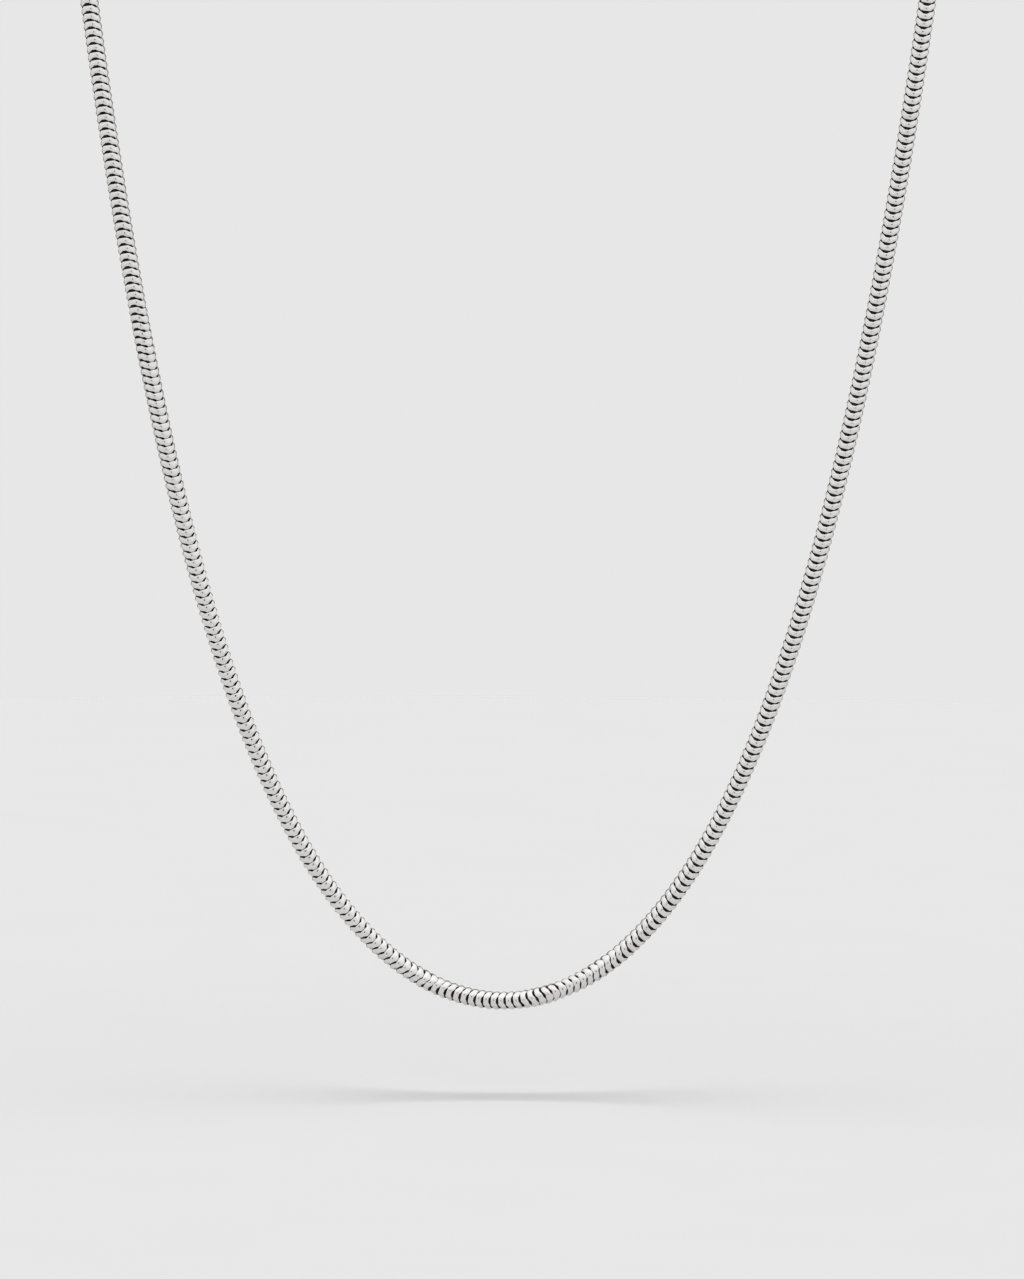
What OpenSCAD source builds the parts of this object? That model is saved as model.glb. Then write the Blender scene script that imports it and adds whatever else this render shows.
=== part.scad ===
// Round snake chain necklace: one closed loop, hung on a neck.
// The front drop hangs in one upright plane. From its two upper ends the
// chain climbs back round the neck and meets a barrel clasp at the nape.
// The origin is the inner side of the clasp, where it rests on the nape.
// +X is the wearer's left, +Y the wearer's back, +Z is up.

/* [Chain] */
// Diameter of the chain
chain_d = 2.5; // [1.6:0.1:4]

/* [Front drop] */
// Distance between the two strands at the top of the front drop
drop_w = 112.5; // [80:0.5:150]
// Height of the front drop, from its lowest point to its top
drop_h = 134; // [90:1:200]
// Length that sets the hanging curve, smaller for a tighter lowest point
sag_l = 21.5; // [16:0.1:32]

/* [Round the neck] */
// Depth of the loop, from the front drop back to the nape
neck_depth = 90; // [65:1:115]
// Height of the nape above the top of the front drop
nape_rise = 46; // [25:1:70]

/* [Clasp] */
// Length of the thick middle of the clasp
barrel_l = 8; // [5:0.5:14]
// Height of the thick middle above the cups
barrel_step = 0.5; // [0.35:0.05:1.2]
// Length of the cup at each end of the clasp
cup_l = 3; // [2:0.25:5]
// Wall of the cups
cup_wall = 0.45; // [0.35:0.05:0.8]
// Chamfer of the clasp's outer edges
edge_c = 0.25; // [0.1:0.05:0.3]
// Width of the parting line round the clasp's middle
parting_w = 0.3; // [0.15:0.05:0.6]

/* [Hidden] */

// Clearance round the end of the chain inside its cup
fit_gap = 0.1;
// Share of a cup's length that the chain goes in
cup_seat = 0.85;
cup_bore_d = chain_d + 2 * fit_gap;
cup_d = cup_bore_d + 2 * cup_wall;
barrel_d = cup_d + 2 * barrel_step;
seat_l = cup_seat * cup_l;
clasp_l = barrel_l + 2 * cup_l;

// The clasp's axis lies half its thickness behind the origin
axis_y = barrel_d / 2;
front_y = axis_y - neck_depth;
seat_x = clasp_l / 2 - seat_l;
mouth_x = clasp_l / 2;

// Sides of the tube, and its rings on the front drop and on each hidden side
sides = 8;
front_n = 44;
side_n = 15;

function unit(v) = v / norm(v);
function cosh(u) = (exp(u) + exp(-u)) / 2;
function sinh(u) = (exp(u) - exp(-u)) / 2;
function asinh(u) = ln(u + sqrt(u * u + 1));

// Front drop: a hanging curve, stretched to the height of the drop.
// The stations are even steps along the plain hanging curve.
half_arc = sag_l * sinh(drop_w / 2 / sag_l);
stretch = drop_h / (sag_l * (cosh(drop_w / 2 / sag_l) - 1));
low_z = -nape_rise - drop_h;
function drop_point(s) = [
    sag_l * asinh(s / sag_l),
    front_y,
    low_z + stretch * (sqrt(sag_l * sag_l + s * s) - sag_l)
];

// Hidden side: one cubic curve from the top of the drop to the cup's mouth.
// It leaves the drop in line with it and enters the cup in line with the clasp.
top_p = drop_point(half_arc);
top_slope = stretch * sinh(drop_w / 2 / sag_l);
top_dir = unit([1, 0, top_slope]);
climb_pull = nape_rise;
nape_pull = 0.55 * drop_w;
side_curve = [
    top_p,
    top_p + climb_pull * top_dir,
    [mouth_x + nape_pull, axis_y, 0],
    [mouth_x, axis_y, 0]
];
function side_point(u) =
    pow(1 - u, 3) * side_curve[0]
    + 3 * u * pow(1 - u, 2) * side_curve[1]
    + 3 * u * u * (1 - u) * side_curve[2]
    + pow(u, 3) * side_curve[3];
function mirror_x(p) = [-p[0], p[1], p[2]];

// The whole route, from the seat in one cup round to the seat in the other
right_side = [for (k = [1 : side_n]) side_point(k / side_n)];
left_side = [for (k = [side_n : -1 : 1]) mirror_x(side_point(k / side_n))];
front = [for (k = [0 : front_n]) drop_point(half_arc * (2 * k / front_n - 1))];
route = concat(
    [[-seat_x, axis_y, 0]],
    left_side,
    front,
    right_side,
    [[seat_x, axis_y, 0]]
);
rings = len(route);
last = rings - 1;

// Direction of the route at each ring
function heading(k) =
    k == 0 ? [-1, 0, 0]
    : k == last ? [-1, 0, 0]
    : unit(route[k + 1] - route[k - 1]);

// A normal carried along the route without twist, one for each ring
function square_to(n, t) = unit(n - (n * t) * t);
function carried(k, n) =
    k > last ? []
    : let (m = square_to(n, heading(k)))
      concat([m], carried(k + 1, m));
normals = carried(0, [0, 0, 1]);

function ring_points(k) =
    let (t = heading(k), n = normals[k], b = cross(t, n))
    [for (j = [0 : sides - 1])
        let (turn = 360 * (j + 0.5) / sides)
        route[k] + chain_d / 2 * (cos(turn) * n + sin(turn) * b)];

function wall_faces(k) = [
    for (j = [0 : sides - 1])
        let (
            a = k * sides + j,
            b = k * sides + (j + 1) % sides,
            c = b + sides,
            d = a + sides
        )
        each [[a, c, b], [a, d, c]]
];

// Length of the centreline and of the whole necklace, with the clasp
function run(k) = k > last ? 0 : norm(route[k] - route[k - 1]) + run(k + 1);
necklace_l = run(1) + 2 * seat_x;
echo(necklace_l = necklace_l, stretch = stretch, rings = rings);

// The chain: a tube swept along the route
module chain() {
    points = [for (k = [0 : last]) each ring_points(k)];
    start_face = [for (j = [0 : sides - 1]) j];
    end_face = [for (j = [sides - 1 : -1 : 0]) last * sides + j];
    walls = [for (k = [0 : last - 1]) each wall_faces(k)];
    color("silver")
    polyhedron(points = points, faces = concat([start_face], walls, [end_face]));
}

// Half of the clasp's outline, from the middle of the barrel to a cup's mouth:
// distance from the axis, then distance from the middle
half_outline = [
    [barrel_d / 2 - parting_w / 2, 0],
    [barrel_d / 2, parting_w / 2],
    [barrel_d / 2, barrel_l / 2 - edge_c],
    [barrel_d / 2 - edge_c, barrel_l / 2],
    [cup_d / 2, barrel_l / 2],
    [cup_d / 2, clasp_l / 2 - edge_c],
    [cup_d / 2 - edge_c, clasp_l / 2],
    [0, clasp_l / 2]
];
mirrored_outline = [
    for (k = [len(half_outline) - 1 : -1 : 1])
        [half_outline[k][0], -half_outline[k][1]]
];

module cup_bore() {
    translate([0, 0, clasp_l / 2 - seat_l])
    cylinder(d = cup_bore_d, h = seat_l + edge_c, $fn = 64);
}

// The clasp: a plain barrel with a cup for the chain at each end
module clasp() {
    color("gainsboro")
    translate([0, axis_y, 0])
    rotate([0, 90, 0])
    difference() {
        rotate_extrude($fn = 96)
        polygon(concat(mirrored_outline, half_outline));
        cup_bore();
        mirror([0, 0, 1])
        cup_bore();
    }
}

chain();
clasp();
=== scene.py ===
"""Snake chain necklace: links, finish of the silver, light and camera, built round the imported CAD."""

import math
import random

import bmesh
import bpy
from mathutils import Matrix, Vector


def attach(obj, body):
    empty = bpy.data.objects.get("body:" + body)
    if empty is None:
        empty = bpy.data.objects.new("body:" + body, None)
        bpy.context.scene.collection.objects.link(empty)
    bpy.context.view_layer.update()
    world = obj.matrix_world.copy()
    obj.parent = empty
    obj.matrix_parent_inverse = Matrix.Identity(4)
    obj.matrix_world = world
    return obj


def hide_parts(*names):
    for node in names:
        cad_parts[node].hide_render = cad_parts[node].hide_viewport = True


bl_info = {
    "name": "Snake Chain Necklace",
    "version": (1, 0, 0),
    "blender": (4, 5, 0),
    "location": "3D Viewport > Sidebar > Necklace",
    "description": "Builds a round snake chain link by link and finishes it in polished silver",
    "category": "Object",
}

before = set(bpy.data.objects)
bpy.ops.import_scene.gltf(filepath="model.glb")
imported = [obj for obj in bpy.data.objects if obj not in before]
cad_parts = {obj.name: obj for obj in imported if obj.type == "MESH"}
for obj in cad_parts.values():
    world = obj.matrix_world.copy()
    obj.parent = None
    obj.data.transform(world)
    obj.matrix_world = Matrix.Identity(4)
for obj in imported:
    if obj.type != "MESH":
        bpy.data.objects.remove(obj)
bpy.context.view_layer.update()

MM = 0.001

# One link cut through its wall, as a closed section. Going round it: the polished band outside, the flared
# neck behind it, and the cup inside the band. The lip of the cup holds the flange of the next link's neck.
#   radius: share of the chain's radius
#   end:    1 at the band's front edge, -1 at its rear edge, 0 halfway
#   step:   shift forward, as a share of the pitch
#   shade:  how far it is painted dark as shade in the recesses, in the colour of dark oxide, 0 none, 1 full
LINK_SECTION = (
    # name, radius, end, step, shade
    ("front_edge", 1.02, 1, 0.0, 0.0),
    ("crown", 1.02, 0, 0.0, 0.0),
    ("rear_edge", 1.02, -1, 0.0, 0.0),
    ("waist", 0.78, -1, 0.14, 1.0),
    ("flange", 0.88, -1, -0.33, 1.0),
    ("bore", 0.72, -1, 0.16, 1.0),
    ("cavity", 0.93, 1, -0.42, 1.0),
    ("lip", 0.85, 1, -0.16, 1.0),
)
# the first rows of the section are the polished band; the others are the neck and the cup
BAND_ROWS = 3

# The rim of a band at the four corners of each quarter turn. The rims nearly touch between the notches, and
# open into a long notch at the rear lobe and a short one on each side of it.
#   angle: from the rear lobe, in degrees
#   gap:   between this band and the next, as a share of the pitch
RIM = (
    # angle, gap
    (13, 0.37),
    (33, 0.15),
    (61, 0.35),
    (78, 0.08),
)
LINK_SIDES = 16

# Crown of a band: how far its edges sink below its middle, and how much less they do between the lobes.
# The tips of the front lobes tuck in a little more. All are shares of the chain's radius.
CROWN = 0.14
CROWN_EASE = 0.06
TIP_TUCK = 0.02

# How far the chain is twisted about its own axis along the front drop: the photo's twist, simplified to a few
# rows in steps of 5 degrees.
#   place: distance along the chain from its lowest point, in mm, positive towards +X
#   turn:  angle from the viewer's side to the nearest rear lobe of the wavy bands, in degrees
CHAIN_TWIST = (
    # place, turn
    (-150, -15),
    (-115, -20),
    (-105, -60),
    (-60, -90),
    (-30, -90),
    (-12, -65),
    (-8, -10),
    (2, 10),
    (8, 95),
    (12, 110),
    (18, 155),
    (35, 180),
    (60, 195),
    (110, 195),
    (150, 185),
)

# Steps along the curves that the centreline is read from
SIDE_STEPS = 400
HALF_DROP_STEPS = 800
# Pull of the hidden side's curve along the clasp, as a share of the drop's width: as in the part's source
NAPE_PULL = 0.55
# Distance over which the chain's direction is read, to each side of a place
HEADING_REACH = 0.3 * MM
# Distance from the lowest point over which the links close up
CLOSE_REACH = 14 * MM

# How uneven the links are: the spread of their turn and lean in degrees, and of their tone as a share
TURN_SPREAD = 0.8
LEAN_SPREAD = 0.5
TONE_SPREAD = 0.025
ATTITUDE_SEED = 7
TONE_SEED = 11
# Edges sharper than this, in degrees, are shaded as edges
SHARP_ANGLE = 45

# Roughness where the recesses are painted dark as shade, duller than the polish
RECESS_SHADE_ROUGHNESS = 0.4
# Tint of silver's reflection at grazing angles: it keeps the outline of the chain grey
GRAZING_TINT = (0.65, 0.65, 0.65, 1)

# The stage: lengths in metres, angles in degrees, the sensor in millimetres
FLOOR_RADIUS = 0.5
SUN_ANGLE = 42
SUN_ENERGY = 9.0
SENSOR = 36
CLIP_START = 0.05
CLIP_END = 100
# Where the camera aims: to the right of the lowest point and above it
AIM_RIGHT = 1.0 * MM
AIM_UP = 49.25 * MM
# How far the camera looks down, in degrees, and its small roll, in radians
CAMERA_TILT = 5
CAMERA_ROLL = 0.00535
# The dark opening behind the camera: half its width and height as seen from the aim, in degrees, and its
# distance behind the camera
OPENING_HALF_WIDTH = 6
OPENING_HALF_HEIGHT = 9.5
OPENING_BEHIND = 0.1


def linear(code):
    """Turn an sRGB hex code into the linear colour that Blender's shaders use."""
    values = [int(code[k : k + 2], 16) / 255 for k in (1, 3, 5)]
    return tuple(v / 12.92 if v <= 0.04045 else ((v + 0.055) / 1.055) ** 2.4 for v in values)


class NecklaceSizes(bpy.types.PropertyGroup):
    """Sizes of the chain and of the way it hangs, as in the part's source."""

    chain_d: bpy.props.FloatProperty(
        name="Chain diameter",
        description="Diameter over the bands of the links",
        default=2.5 * MM,
        unit="LENGTH",
    )
    pitch: bpy.props.FloatProperty(
        name="Pitch",
        description="Distance from one link to the next where the chain hangs straight",
        default=1.054 * MM,
        unit="LENGTH",
    )
    low_pitch: bpy.props.FloatProperty(
        name="Pitch at the lowest point",
        description="Distance from one link to the next in the tight bend, where the links close up",
        default=1.02 * MM,
        unit="LENGTH",
    )
    wave: bpy.props.FloatProperty(
        name="Wave of the bands",
        description="How far the edges of a band sway forward and back, as a share of the pitch",
        default=0.27,
    )
    drop_w: bpy.props.FloatProperty(
        name="Drop width",
        description="Distance between the two strands at the top of the front drop",
        default=112.5 * MM,
        unit="LENGTH",
    )
    drop_h: bpy.props.FloatProperty(
        name="Drop height",
        description="Height of the front drop, from its lowest point to its top",
        default=134 * MM,
        unit="LENGTH",
    )
    sag_l: bpy.props.FloatProperty(
        name="Sag length",
        description="Length that sets the hanging curve, smaller for a tighter lowest point",
        default=21.5 * MM,
        unit="LENGTH",
    )
    neck_depth: bpy.props.FloatProperty(
        name="Neck depth",
        description="Depth of the loop, from the front drop back to the nape",
        default=90 * MM,
        unit="LENGTH",
    )
    nape_rise: bpy.props.FloatProperty(
        name="Nape rise",
        description="Height of the nape above the top of the front drop",
        default=46 * MM,
        unit="LENGTH",
    )
    clasp_l: bpy.props.FloatProperty(
        name="Clasp length",
        description="Length of the clasp with its two cups",
        default=14 * MM,
        unit="LENGTH",
    )
    clasp_d: bpy.props.FloatProperty(
        name="Clasp diameter",
        description="Diameter of the clasp's thick middle",
        default=4.6 * MM,
        unit="LENGTH",
    )
    seat_l: bpy.props.FloatProperty(
        name="Seat length",
        description="How far the chain goes into each cup of the clasp",
        default=2.55 * MM,
        unit="LENGTH",
    )


class NecklaceFinish(bpy.types.PropertyGroup):
    """Colours and polish of the metal."""

    silver: bpy.props.FloatVectorProperty(
        name="Silver",
        description="Colour of the polished silver",
        subtype="COLOR",
        size=3,
        default=linear("#E3E2E0"),
    )
    # on the chain this colour is painted shade in the recesses between the links; on the clasp it is the
    # oxide in its parting line
    oxide_and_recess_shade: bpy.props.FloatVectorProperty(
        name="Oxide",
        description="Colour of the dark oxide in the recesses between the links",
        subtype="COLOR",
        size=3,
        default=linear("#24221F"),
    )
    polish: bpy.props.FloatProperty(
        name="Roughness",
        description="Roughness of the polished bands",
        default=0.10,
        min=0,
        max=1,
        subtype="FACTOR",
    )


class NecklaceStudio(bpy.types.PropertyGroup):
    """Floor, light and camera."""

    backdrop: bpy.props.FloatVectorProperty(
        name="Backdrop",
        description="Pale grey of the floor and of the light tent behind it",
        subtype="COLOR",
        size=3,
        default=linear("#E7E7E7"),
    )
    floor_drop: bpy.props.FloatProperty(
        name="Floor below the chain",
        description="Distance from the chain's lowest point down to the floor",
        default=11.9 * MM,
        unit="LENGTH",
    )
    camera_distance: bpy.props.FloatProperty(
        name="Camera distance",
        description="Distance from the camera to the plane of the front drop",
        default=1.5,
        unit="LENGTH",
    )
    view_height: bpy.props.FloatProperty(
        name="View height",
        description="Height of the picture, measured in the plane of the front drop",
        default=173.25 * MM,
        unit="LENGTH",
    )


def add_node(tree, kind, settings=None, inputs=None):
    """Add one node with its settings; each input takes a value or another node's output."""
    node = tree.nodes.new(kind)
    for name, value in (settings or {}).items():
        setattr(node, name, value)
    for name, value in (inputs or {}).items():
        if isinstance(value, bpy.types.NodeSocket):
            tree.links.new(value, node.inputs[name])
        else:
            node.inputs[name].default_value = value
    return node


def new_material(name):
    """Start an empty node material with its output node."""
    material = bpy.data.materials.new(name)
    material.use_nodes = True
    material.node_tree.nodes.clear()
    output = add_node(material.node_tree, "ShaderNodeOutputMaterial")
    return material, material.node_tree, output


def new_piece(name, mesh):
    """Put a finished mesh in the scene, at the origin."""
    piece = bpy.data.objects.new(name, mesh)
    bpy.context.scene.collection.objects.link(piece)
    return piece


def drop_point(sizes, s):
    """A point of the front drop, s along its plain hanging curve from the lowest point."""
    sag = sizes.sag_l
    stretch = sizes.drop_h / (sag * (math.cosh(sizes.drop_w / 2 / sag) - 1))
    low_z = -sizes.nape_rise - sizes.drop_h
    front_y = sizes.clasp_d / 2 - sizes.neck_depth
    return Vector((sag * math.asinh(s / sag), front_y, low_z + stretch * (math.hypot(sag, s) - sag)))


def side_point(sizes, u):
    """A point of the right-hand hidden side: the top of the drop at u = 0, the cup's mouth at u = 1."""
    sag = sizes.sag_l
    half_arc = sag * math.sinh(sizes.drop_w / 2 / sag)
    stretch = sizes.drop_h / (sag * (math.cosh(sizes.drop_w / 2 / sag) - 1))
    top = drop_point(sizes, half_arc)
    up = Vector((1, 0, stretch * half_arc / sag)).normalized()
    mouth = Vector((sizes.clasp_l / 2, sizes.clasp_d / 2, 0))
    climb = top + sizes.nape_rise * up
    nape = mouth + Vector((NAPE_PULL * sizes.drop_w, 0, 0))
    return (1 - u) ** 3 * top + 3 * u * (1 - u) ** 2 * climb + 3 * u * u * (1 - u) * nape + u**3 * mouth


def chain_route(sizes):
    """The chain's centreline, from the seat in one cup, down through the drop, to the seat in the other."""
    half_arc = sizes.sag_l * math.sinh(sizes.drop_w / 2 / sizes.sag_l)
    right = [side_point(sizes, k / SIDE_STEPS) for k in range(1, SIDE_STEPS + 1)]
    right.append(Vector((sizes.clasp_l / 2 - sizes.seat_l, sizes.clasp_d / 2, 0)))
    left = [Vector((-p.x, p.y, p.z)) for p in reversed(right)]
    steps = range(-HALF_DROP_STEPS, HALF_DROP_STEPS + 1)
    drop = [drop_point(sizes, half_arc * k / HALF_DROP_STEPS) for k in steps]
    return left + drop + right


class Centreline:
    """A run of points that can be read by distance along it. Distance 0 is the lowest point."""

    def __init__(self, points):
        self.points = points
        self.at = [0.0]
        for a, b in zip(points, points[1:]):
            self.at.append(self.at[-1] + (b - a).length)
        lowest = min(range(len(points)), key=lambda k: points[k].z)
        self.at = [d - self.at[lowest] for d in self.at]
        self.start = self.at[0]
        self.end = self.at[-1]

    def point(self, distance):
        """The point at a distance along the run."""
        low, high = 0, len(self.at) - 1
        while high - low > 1:
            middle = (low + high) // 2
            if self.at[middle] <= distance:
                low = middle
            else:
                high = middle
        share = (distance - self.at[low]) / (self.at[high] - self.at[low])
        return self.points[low].lerp(self.points[high], share)

    def heading(self, distance):
        """The direction of the run at a distance along it."""
        ahead = self.point(min(distance + HEADING_REACH, self.end))
        behind = self.point(max(distance - HEADING_REACH, self.start))
        return (ahead - behind).normalized()


def twist_at(distance):
    """Turn of the chain about its own axis, in radians. Past the ends of the table it stays the same."""
    place = distance / MM
    if place <= CHAIN_TWIST[0][0]:
        return math.radians(CHAIN_TWIST[0][1])
    for (p0, t0), (p1, t1) in zip(CHAIN_TWIST, CHAIN_TWIST[1:]):
        if place <= p1:
            share = (place - p0) / (p1 - p0)
            return math.radians(t0 + (t1 - t0) * share)
    return math.radians(CHAIN_TWIST[-1][1])


def rim_corner(angle):
    """Where a corner of the even 16-sided ring goes on the rim, and the gap there."""
    turn = math.degrees(angle) % 180
    folded = min(turn, 180 - turn)
    place, gap = RIM[int(folded * LINK_SIDES / 360)]
    shift = place - folded if turn < 90 else folded - place
    return angle + math.radians(shift), gap


def band_radius(end, angle):
    """Share of its radius that the polished band keeps: crowned along its length, tucked in at the tips."""
    crown = (CROWN - CROWN_EASE * math.sin(2 * angle) ** 2) * abs(end)
    tip = TIP_TUCK * max(0.0, -math.cos(2 * angle)) ** 2 * (1 + end)
    return 1 - crown - tip


def link_mesh(sizes):
    """One ring link: its section spun round, with half as many sides inside, then swayed into its wave."""
    shape = bmesh.new()
    row = shape.verts.layers.int.new("row")
    # how dark each corner is painted: painted shade in the recesses between the links
    recess_shade = shape.verts.layers.float.new("recess_shade")
    section = []
    for index, (_, radius, _, _, dark) in enumerate(LINK_SECTION):
        corner = shape.verts.new((radius * sizes.chain_d / 2, 0, index * MM))
        corner[row] = index
        corner[recess_shade] = dark
        section.append(corner)
    edges = [shape.edges.new((a, b)) for a, b in zip(section, section[1:] + section[:1])]
    bmesh.ops.spin(
        shape,
        geom=section + edges,
        cent=(0, 0, 0),
        axis=(0, 0, 1),
        angle=math.tau,
        steps=LINK_SIDES,
        use_merge=True,
    )
    half_side = math.pi / LINK_SIDES
    bmesh.ops.rotate(shape, verts=shape.verts, cent=(0, 0, 0), matrix=Matrix.Rotation(half_side, 3, "Z"))
    inner = []
    for edge in shape.edges:
        a, b = edge.verts
        side = round((math.atan2(a.co.y, a.co.x) / half_side - 1) / 2)
        if a[row] != b[row] and max(a[row], b[row]) >= BAND_ROWS and side % 2:
            inner.append(edge)
    bmesh.ops.dissolve_edges(shape, edges=inner, use_verts=True)
    for corner in shape.verts:
        _, _, end, step, _ = LINK_SECTION[corner[row]]
        angle = math.atan2(corner.co.y, corner.co.x)
        radius = math.hypot(corner.co.x, corner.co.y)
        gap = 0.0
        if corner[row] < BAND_ROWS:
            angle, gap = rim_corner(angle)
            radius *= band_radius(end, angle)
        else:
            angle -= half_side
        sway = -sizes.wave * math.cos(2 * angle)
        height = sizes.pitch * (sway + end * (1 - gap) / 2 + step)
        corner.co = (radius * math.cos(angle), radius * math.sin(angle), height)
    bmesh.ops.recalc_face_normals(shape, faces=shape.faces)
    # the thin wall can mislead the recalculation, so the sign of the volume decides which way is out
    if shape.calc_volume(signed=True) < 0:
        bmesh.ops.reverse_faces(shape, faces=shape.faces)
    for face in shape.faces:
        face.smooth = True
    mesh = bpy.data.meshes.new("one_link")
    shape.to_mesh(mesh)
    shape.free()
    return mesh


def link_places(sizes, line):
    """Distance along the chain of each link, closer together round the lowest point."""
    places = []
    distance = 0.0
    while distance < line.end - sizes.pitch / 2:
        places.append(distance)
        closeness = math.exp(-((distance / CLOSE_REACH) ** 2))
        distance += sizes.pitch + (sizes.low_pitch - sizes.pitch) * closeness
    return [-d for d in reversed(places[1:])] + places


def chain_frames(sizes, line, places):
    """Place and attitude of each link: carried along the route, then turned by the chain's own twist."""
    middle = min(range(len(places)), key=lambda k: abs(places[k]))
    headings = [line.heading(d) for d in places]
    sides = [None] * len(places)
    sides[middle] = Vector((0, -1, 0))
    for k in range(middle + 1, len(places)):
        sides[k] = headings[k - 1].rotation_difference(headings[k]) @ sides[k - 1]
    for k in range(middle - 1, -1, -1):
        sides[k] = headings[k + 1].rotation_difference(headings[k]) @ sides[k + 1]
    hand = random.Random(ATTITUDE_SEED)
    frames = []
    for distance, heading, side in zip(places, headings, sides):
        across = (side - side.dot(heading) * heading).normalized()
        basis = Matrix((across, heading.cross(across), heading)).transposed()
        turn = Matrix.Rotation(-twist_at(distance) + math.radians(hand.gauss(0, TURN_SPREAD)), 3, "Z")
        lean = Matrix.Rotation(math.radians(hand.gauss(0, LEAN_SPREAD)), 3, "X")
        frames.append(Matrix.Translation(line.point(distance)) @ (basis @ turn @ lean).to_4x4())
    return frames


def polished_silver(finish):
    """Sterling silver, stamped, tumbled and rhodium plated: cool and white, with soft-edged mirror images,
    and painted shade in the recesses between the links.
    """
    material, tree, output = new_material("polished_rhodium_silver")
    coordinates = add_node(tree, "ShaderNodeTexCoord")
    recess_shade = add_node(tree, "ShaderNodeAttribute", {"attribute_name": "recess_shade"})
    tone = add_node(tree, "ShaderNodeAttribute", {"attribute_name": "link_tone"})
    # tumbling marks: 0.15 mm across
    marks = add_node(
        tree,
        "ShaderNodeTexNoise",
        inputs={"Vector": coordinates.outputs["Object"], "Scale": 1 / (0.15 * MM), "Detail": 3},
    )
    # the recesses between the links are painted dark in the oxide's colour: painted shade
    colour = add_node(
        tree,
        "ShaderNodeMix",
        {"data_type": "RGBA"},
        {"Factor": recess_shade.outputs["Fac"]},
    )
    colour.inputs[6].default_value = (*finish.silver, 1)
    colour.inputs[7].default_value = (*finish.oxide_and_recess_shade, 1)
    shade = add_node(
        tree,
        "ShaderNodeMix",
        {"data_type": "RGBA", "blend_type": "MULTIPLY"},
    )
    shade.inputs[0].default_value = 1
    tree.links.new(colour.outputs[2], shade.inputs[6])
    tree.links.new(tone.outputs["Color"], shade.inputs[7])
    roughness = add_node(
        tree,
        "ShaderNodeMapRange",
        inputs={"Value": recess_shade.outputs["Fac"], "To Min": finish.polish, "To Max": RECESS_SHADE_ROUGHNESS},
    )
    bump = add_node(
        tree,
        "ShaderNodeBump",
        inputs={"Height": marks.outputs["Fac"], "Strength": 0.25, "Distance": 0.002 * MM},
    )
    shader = add_node(
        tree,
        "ShaderNodeBsdfPrincipled",
        inputs={
            "Base Color": shade.outputs[2],
            "Metallic": 1.0,
            "Roughness": roughness.outputs["Result"],
            "Specular Tint": GRAZING_TINT,
            "Normal": bump.outputs["Normal"],
        },
    )
    tree.links.new(shader.outputs["BSDF"], output.inputs["Surface"])
    return material


def clasp_silver(finish):
    """Silver turned on a lathe and polished: bright, with fine rings round the axis and a dark parting."""
    material, tree, output = new_material("turned_silver")
    coordinates = add_node(tree, "ShaderNodeTexCoord")
    along = add_node(tree, "ShaderNodeSeparateXYZ", inputs={"Vector": coordinates.outputs["Object"]})
    # oxide left in the parting line, 0.3 mm wide
    middle = add_node(tree, "ShaderNodeMath", {"operation": "ABSOLUTE"}, {0: along.outputs["X"]})
    parting = add_node(
        tree,
        "ShaderNodeMapRange",
        {"interpolation_type": "SMOOTHSTEP"},
        {
            "Value": middle.outputs["Value"],
            "From Min": 0.08 * MM,
            "From Max": 0.17 * MM,
            "To Min": 0.85,
            "To Max": 0.0,
        },
    )
    # handling wears the polish in soft patches, 1.5 mm across
    wear = add_node(
        tree,
        "ShaderNodeTexNoise",
        inputs={"Vector": coordinates.outputs["Object"], "Scale": 1 / (1.5 * MM), "Detail": 4},
    )
    bright = add_node(
        tree,
        "ShaderNodeMix",
        {"data_type": "RGBA"},
        {"Factor": wear.outputs["Fac"]},
    )
    bright.inputs[6].default_value = (*finish.silver, 1)
    bright.inputs[7].default_value = (*linear("#D6D4D1"), 1)
    colour = add_node(
        tree,
        "ShaderNodeMix",
        {"data_type": "RGBA"},
        {"Factor": parting.outputs["Result"]},
    )
    tree.links.new(bright.outputs[2], colour.inputs[6])
    colour.inputs[7].default_value = (*finish.oxide_and_recess_shade, 1)
    roughness = add_node(
        tree,
        "ShaderNodeMapRange",
        inputs={"Value": wear.outputs["Fac"], "To Min": finish.polish, "To Max": finish.polish + 0.12},
    )
    # tool marks every 0.12 mm: drawn coarser than real ones, which are too fine to show
    rings = add_node(
        tree,
        "ShaderNodeTexWave",
        {"wave_type": "BANDS", "bands_direction": "X"},
        {
            "Vector": coordinates.outputs["Object"],
            "Scale": math.tau / 20 / (0.12 * MM),
            "Distortion": 0.4,
            "Detail": 1,
        },
    )
    bump = add_node(
        tree,
        "ShaderNodeBump",
        inputs={"Height": rings.outputs["Fac"], "Strength": 0.3, "Distance": 0.003 * MM},
    )
    shader = add_node(
        tree,
        "ShaderNodeBsdfPrincipled",
        inputs={
            "Base Color": colour.outputs[2],
            "Metallic": 1.0,
            "Roughness": roughness.outputs["Result"],
            "Specular Tint": GRAZING_TINT,
            "Normal": bump.outputs["Normal"],
        },
    )
    tree.links.new(shader.outputs["BSDF"], output.inputs["Surface"])
    return material


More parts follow.
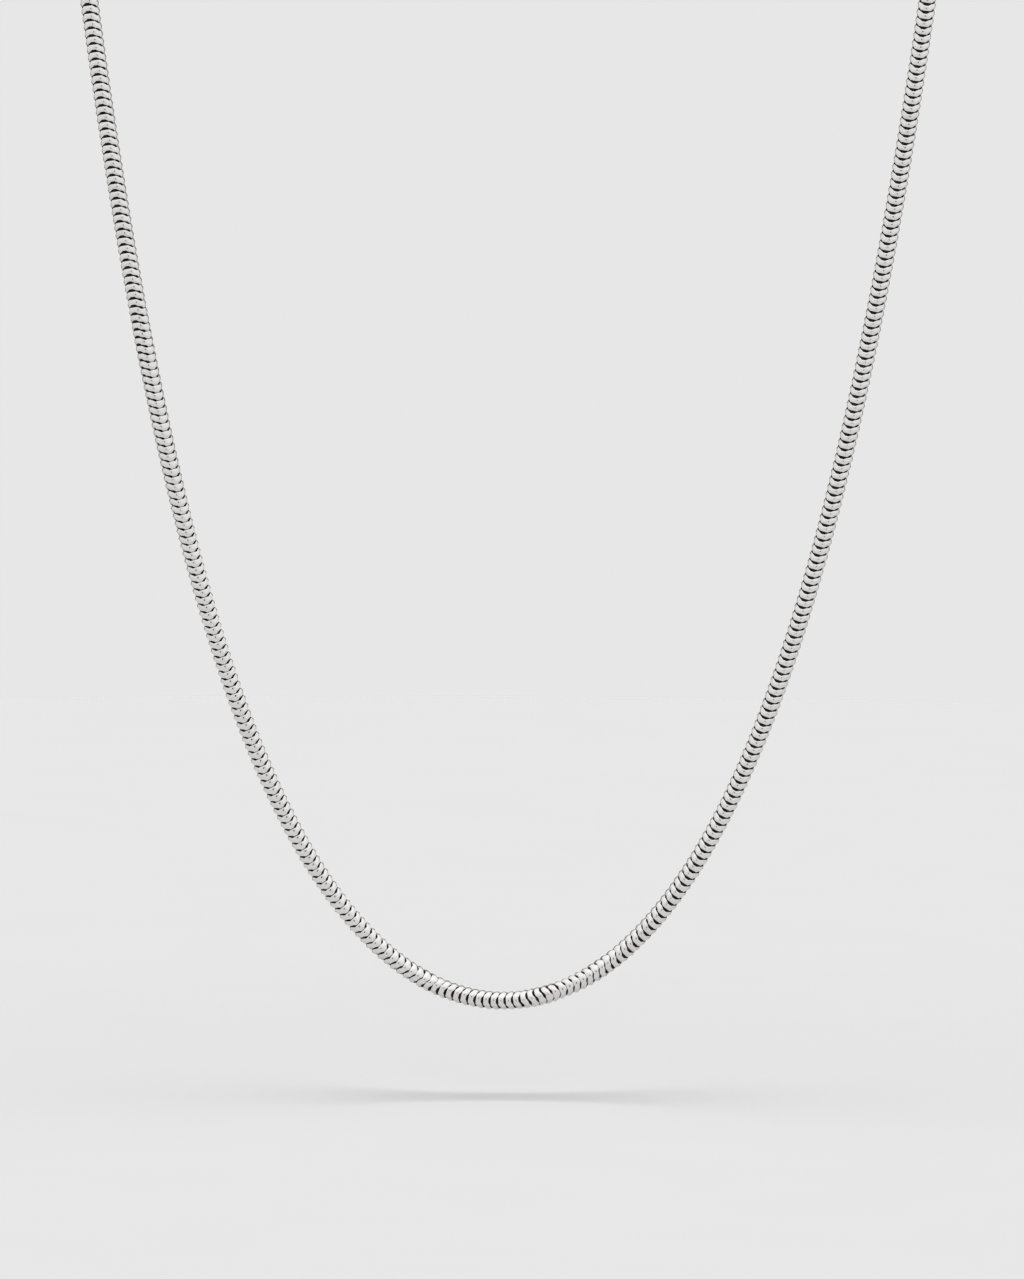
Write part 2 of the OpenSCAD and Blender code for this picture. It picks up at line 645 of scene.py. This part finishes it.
def floor_paper():
    """Background paper: uncoated and matt, so no gloss, only the faint unevenness of its pulp."""
    material, tree, output = new_material("background_paper")
    coordinates = add_node(tree, "ShaderNodeTexCoord")
    # clouds in the pulp: 20 mm across
    pulp = add_node(
        tree,
        "ShaderNodeTexNoise",
        inputs={"Vector": coordinates.outputs["Object"], "Scale": 1 / (20 * MM), "Detail": 5},
    )
    colour = add_node(tree, "ShaderNodeMix", {"data_type": "RGBA"}, {"Factor": pulp.outputs["Fac"]})
    colour.inputs[6].default_value = (*linear("#7C7C7C"), 1)
    colour.inputs[7].default_value = (*linear("#7D7D7D"), 1)
    shader = add_node(tree, "ShaderNodeBsdfDiffuse", inputs={"Color": colour.outputs[2]})
    tree.links.new(shader.outputs["BSDF"], output.inputs["Surface"])
    return material


def dark_opening_sheet():
    """Black sheet for the camera and the opening round its lens, where there is only shade: painted shade,
    mirrored by the metal, that varies a little.
    """
    material, tree, output = new_material("lens_opening_shade")
    coordinates = add_node(tree, "ShaderNodeTexCoord")
    # patches of uneven darkness: 40 mm across
    nap = add_node(
        tree,
        "ShaderNodeTexNoise",
        inputs={"Vector": coordinates.outputs["Object"], "Scale": 1 / (40 * MM), "Detail": 2},
    )
    colour = add_node(tree, "ShaderNodeMix", {"data_type": "RGBA"}, {"Factor": nap.outputs["Fac"]})
    colour.inputs[6].default_value = (*linear("#161616"), 1)
    colour.inputs[7].default_value = (*linear("#1E1D1D"), 1)
    shader = add_node(tree, "ShaderNodeBsdfDiffuse", inputs={"Color": colour.outputs[2]})
    tree.links.new(shader.outputs["BSDF"], output.inputs["Surface"])
    return material


class NECKLACE_OT_chain(bpy.types.Operator):
    """Builds the chain link by link in place of the plain tube"""

    bl_idname = "necklace.chain"
    bl_label = "Build Chain Links"
    bl_options = {"REGISTER", "UNDO"}

    def execute(self, context):
        sizes = context.scene.necklace_sizes
        if "chain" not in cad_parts:
            raise RuntimeError("the model has no node named chain")
        line = Centreline(chain_route(sizes))
        places = link_places(sizes, line)
        frames = chain_frames(sizes, line, places)
        link = link_mesh(sizes)
        corners = len(link.vertices)
        joined = bmesh.new()
        for frame in frames:
            one = link.copy()
            one.transform(frame)
            joined.from_mesh(one)
            bpy.data.meshes.remove(one)
        mesh = bpy.data.meshes.new("chain_links")
        joined.to_mesh(mesh)
        joined.free()
        bpy.data.meshes.remove(link)
        mesh.set_sharp_from_angle(angle=math.radians(SHARP_ANGLE))
        hand = random.Random(TONE_SEED)
        tones = []
        for _ in frames:
            tone = 1 - abs(hand.gauss(0, TONE_SPREAD))
            tones.extend([tone] * corners)
        layer = mesh.attributes.new("link_tone", "FLOAT", "POINT")
        layer.data.foreach_set("value", tones)
        mesh.materials.append(polished_silver(context.scene.necklace_finish))
        piece = new_piece("chain_links", mesh)
        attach(piece, "root")
        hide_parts("chain")
        return {"FINISHED"}


class NECKLACE_OT_clasp(bpy.types.Operator):
    """Finishes the clasp in turned and polished silver"""

    bl_idname = "necklace.clasp"
    bl_label = "Finish Clasp"
    bl_options = {"REGISTER", "UNDO"}

    def execute(self, context):
        if "clasp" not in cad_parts:
            raise RuntimeError("the model has no node named clasp")
        material = clasp_silver(context.scene.necklace_finish)
        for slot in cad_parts["clasp"].material_slots:
            slot.material = material
        return {"FINISHED"}


class NECKLACE_OT_stage(bpy.types.Operator):
    """Sets up the pale floor, the soft light round the necklace and the camera"""

    bl_idname = "necklace.stage"
    bl_label = "Set Up Stage"
    bl_options = {"REGISTER", "UNDO"}

    def execute(self, context):
        scene = context.scene
        sizes = scene.necklace_sizes
        studio = scene.necklace_studio
        lowest = drop_point(sizes, 0)
        floor_z = lowest.z - sizes.chain_d / 2 - studio.floor_drop

        shape = bmesh.new()
        bmesh.ops.create_circle(shape, cap_ends=True, segments=96, radius=FLOOR_RADIUS)
        bmesh.ops.translate(shape, verts=shape.verts, vec=(0, 0, floor_z))
        mesh = bpy.data.meshes.new("floor")
        shape.to_mesh(mesh)
        shape.free()
        mesh.materials.append(floor_paper())
        floor = new_piece("floor", mesh)

        world = bpy.data.worlds.new("light_tent")
        world.use_nodes = True
        world.node_tree.nodes.clear()
        tree = world.node_tree
        output = add_node(tree, "ShaderNodeOutputWorld")
        direction = add_node(tree, "ShaderNodeTexCoord")
        split = add_node(tree, "ShaderNodeSeparateXYZ", inputs={"Vector": direction.outputs["Generated"]})
        # the tent grows brighter upwards, with the roof the brightest
        low = add_node(
            tree,
            "ShaderNodeMapRange",
            inputs={
                "Value": split.outputs["Z"],
                "From Min": -0.3,
                "From Max": 0.3,
                "To Min": 0.89,
                "To Max": 0.99,
            },
        )
        roof = add_node(
            tree,
            "ShaderNodeMapRange",
            {"interpolation_type": "SMOOTHSTEP"},
            {"Value": split.outputs["Z"], "From Min": 0.3, "From Max": 1.0, "To Min": 1.0, "To Max": 1.3},
        )
        # the wall round the camera is a little darker than the sides
        front = add_node(
            tree,
            "ShaderNodeMapRange",
            {"interpolation_type": "SMOOTHSTEP"},
            {"Value": split.outputs["Y"], "From Min": -1.0, "From Max": -0.7, "To Min": 0.88, "To Max": 1.0},
        )
        # the far wall is in shade, which draws the outline of bright metal
        back = add_node(
            tree,
            "ShaderNodeMapRange",
            {"interpolation_type": "SMOOTHSTEP"},
            {"Value": split.outputs["Y"], "From Min": 0.45, "From Max": 1.0, "To Min": 1.0, "To Max": 0.35},
        )
        # and the light comes a little more from the right
        right = add_node(
            tree,
            "ShaderNodeMapRange",
            inputs={
                "Value": split.outputs["X"],
                "From Min": -1.0,
                "From Max": 1.0,
                "To Min": 0.97,
                "To Max": 1.03,
            },
        )
        light = low
        for part in (roof, front, back, right):
            light = add_node(
                tree,
                "ShaderNodeMath",
                {"operation": "MULTIPLY"},
                {0: light.outputs[0], 1: part.outputs[0]},
            )
        tent = add_node(tree, "ShaderNodeBackground", inputs={"Strength": light.outputs["Value"]})
        tent.inputs["Color"].default_value = (1, 1, 1, 1)
        plain = add_node(
            tree,
            "ShaderNodeBackground",
            inputs={"Color": (*studio.backdrop, 1), "Strength": 1.0},
        )
        ray = add_node(tree, "ShaderNodeLightPath")
        seen = add_node(
            tree,
            "ShaderNodeMixShader",
            inputs={
                0: ray.outputs["Is Camera Ray"],
                1: tent.outputs["Background"],
                2: plain.outputs["Background"],
            },
        )
        tree.links.new(seen.outputs["Shader"], output.inputs["Surface"])
        scene.world = world

        lamp = bpy.data.lights.new("overhead_softbox", "SUN")
        lamp.angle = math.radians(SUN_ANGLE)
        lamp.energy = SUN_ENERGY
        softbox = bpy.data.objects.new("overhead_softbox", lamp)
        # the tent's roof stands for the softbox in mirror images
        softbox.visible_glossy = False
        scene.collection.objects.link(softbox)

        camera = bpy.data.cameras.new("camera")
        camera.sensor_width = SENSOR
        camera.lens = SENSOR * studio.camera_distance / studio.view_height
        camera.clip_start = CLIP_START
        camera.clip_end = CLIP_END
        eye = bpy.data.objects.new("camera", camera)
        scene.collection.objects.link(eye)
        target = Vector((AIM_RIGHT, lowest.y, lowest.z + AIM_UP))
        tilt = math.radians(CAMERA_TILT)
        eye.location = target + studio.camera_distance * Vector((0, -math.cos(tilt), math.sin(tilt)))
        aim = (target - eye.location).to_track_quat("-Z", "Y")
        roll = Matrix.Rotation(CAMERA_ROLL, 3, "Z").to_quaternion()
        eye.rotation_mode = "QUATERNION"
        eye.rotation_quaternion = aim @ roll
        scene.camera = eye
        scene.view_settings.view_transform = "Standard"

        # a black sheet where the opening round the camera is in shade: painted shade, hidden from the camera
        # and seen in the metal's mirror images
        shape = bmesh.new()
        reach = studio.camera_distance + OPENING_BEHIND
        wide = reach * math.tan(math.radians(OPENING_HALF_WIDTH))
        high = reach * math.tan(math.radians(OPENING_HALF_HEIGHT))
        bmesh.ops.create_circle(shape, cap_ends=True, segments=48, radius=1)
        bmesh.ops.scale(shape, vec=(wide, high, 1), verts=shape.verts)
        to_eye = (eye.location - target).normalized()
        facing = to_eye.to_track_quat("Z", "Y").to_matrix().to_4x4()
        place = Matrix.Translation(target + reach * to_eye) @ facing
        bmesh.ops.transform(shape, matrix=place, verts=shape.verts)
        mesh = bpy.data.meshes.new("lens_opening")
        shape.to_mesh(mesh)
        shape.free()
        mesh.materials.append(dark_opening_sheet())
        opening = new_piece("lens_opening", mesh)
        opening.visible_camera = False
        return {"FINISHED"}


class NECKLACE_PT_build(bpy.types.Panel):
    """Sizes, colours and build steps of the necklace"""

    bl_label = "Snake Chain Necklace"
    bl_idname = "NECKLACE_PT_build"
    bl_space_type = "VIEW_3D"
    bl_region_type = "UI"
    bl_category = "Necklace"

    def draw(self, context):
        for group in ("necklace_sizes", "necklace_finish", "necklace_studio"):
            settings = getattr(context.scene, group)
            box = self.layout.box()
            for name in settings.__annotations__:
                box.prop(settings, name)
        self.layout.operator("necklace.chain")
        self.layout.operator("necklace.clasp")
        self.layout.operator("necklace.stage")


CLASSES = (
    NecklaceSizes,
    NecklaceFinish,
    NecklaceStudio,
    NECKLACE_OT_chain,
    NECKLACE_OT_clasp,
    NECKLACE_OT_stage,
    NECKLACE_PT_build,
)


def register():
    for cls in CLASSES:
        bpy.utils.register_class(cls)
    bpy.types.Scene.necklace_sizes = bpy.props.PointerProperty(type=NecklaceSizes)
    bpy.types.Scene.necklace_finish = bpy.props.PointerProperty(type=NecklaceFinish)
    bpy.types.Scene.necklace_studio = bpy.props.PointerProperty(type=NecklaceStudio)


def unregister():
    del bpy.types.Scene.necklace_sizes
    del bpy.types.Scene.necklace_finish
    del bpy.types.Scene.necklace_studio
    for cls in reversed(CLASSES):
        bpy.utils.unregister_class(cls)


def main():
    register()
    bpy.ops.necklace.stage()
    bpy.ops.necklace.chain()
    bpy.ops.necklace.clasp()


if __name__ == "__main__":
    main()
